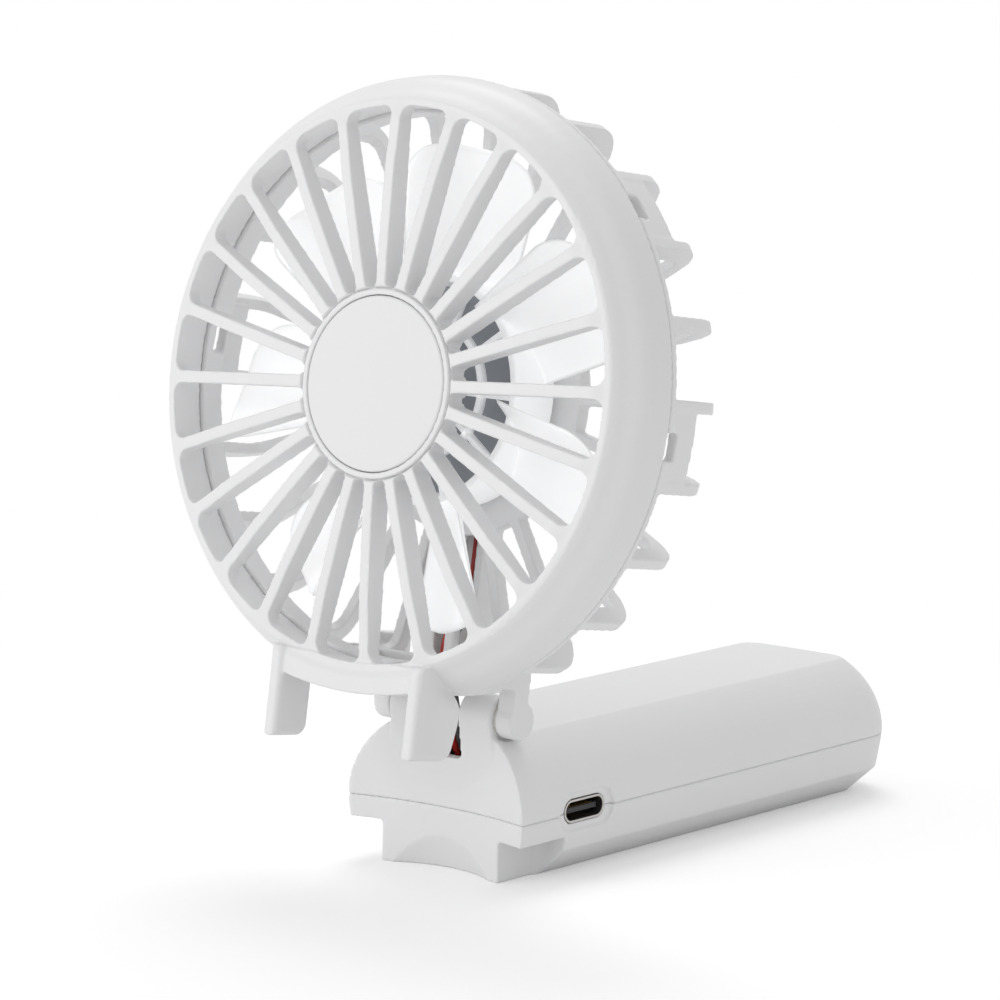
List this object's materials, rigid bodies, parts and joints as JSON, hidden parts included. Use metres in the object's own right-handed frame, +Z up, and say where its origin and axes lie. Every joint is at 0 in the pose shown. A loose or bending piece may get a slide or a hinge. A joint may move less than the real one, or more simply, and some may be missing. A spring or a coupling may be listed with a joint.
{
  "type": "folding battery fan",
  "caption": "Small caged battery fan: a round fan head on a friction hinge at the end of a long flat handle that serves as grip and desk base, with a charging port in its side.",
  "frame": {"origin": "middle of the handle's flat underside", "axes": "+Z up, the handle runs along Y with its hinge end at -Y, the fan blows towards -Y, +X is the side with the charging port"},
  "size_m": [0.0862, 0.1156, 0.112],
  "materials": {
    "white_shell": "satin white moulded plastic",
    "blade_plastic": "smooth slightly clear white plastic",
    "steel": "plain steel",
    "dark_steel": "grey coated steel",
    "bronze": "sintered bronze",
    "board": "green solder mask",
    "black_plastic": "black moulded plastic",
    "magnet": "dark ferrite",
    "copper": "wound copper on steel",
    "cell": "foil pouch",
    "red_wire": "red insulation",
    "black_wire": "black insulation",
    "light": "clear light pipe",
    "washer": "acetal"
  },
  "bodies": {
    "handle": {"upper_shell": "white_shell", "lower_shell": "white_shell", "shell_screws": "steel", "control_board": "board", "board_screws": "steel", "usb_c_shell": "steel", "usb_c_tongue": "black_plastic", "button_switch": "black_plastic", "status_light": "light", "battery_cell": "cell", "hinge_bushes": "washer", "friction_washers": "washer", "red_lead_lower": "red_wire", "black_lead_lower": "black_wire"},
    "head": {"front_guard": "white_shell", "front_cap": "white_shell", "rear_guard": "white_shell", "rear_cover": "white_shell", "hinge_pins": "steel", "motor_screws": "steel", "motor_board": "board", "motor_bearing": "bronze", "motor_stator": "copper", "red_lead_upper": "red_wire", "black_lead_upper": "black_wire"},
    "rotor": {"impeller": "blade_plastic", "rotor_can": "dark_steel", "rotor_magnet": "magnet", "motor_shaft": "steel"},
    "button": {"power_button": "white_shell"}
  },
  "joints": [
    {"name": "head_tilt", "type": "hinge", "parent": "handle", "child": "head", "pos_m": [0, -0.04325, 0.02287], "axis": [1, 0, 0], "range_deg": [-81.6, 98.4]},
    {"name": "impeller_spin", "type": "hinge", "parent": "head", "child": "rotor", "pos_m": [0, -0.04933, 0.06895], "axis": [0, 0.9893, -0.1461], "continuous": true},
    {"name": "power_button_press", "type": "slide", "parent": "handle", "child": "button", "axis": [1, 0, 0], "range_m": [0, 0.0004], "stiffness_N_per_m": 1500, "springref_m": -0.0004}
  ]
}
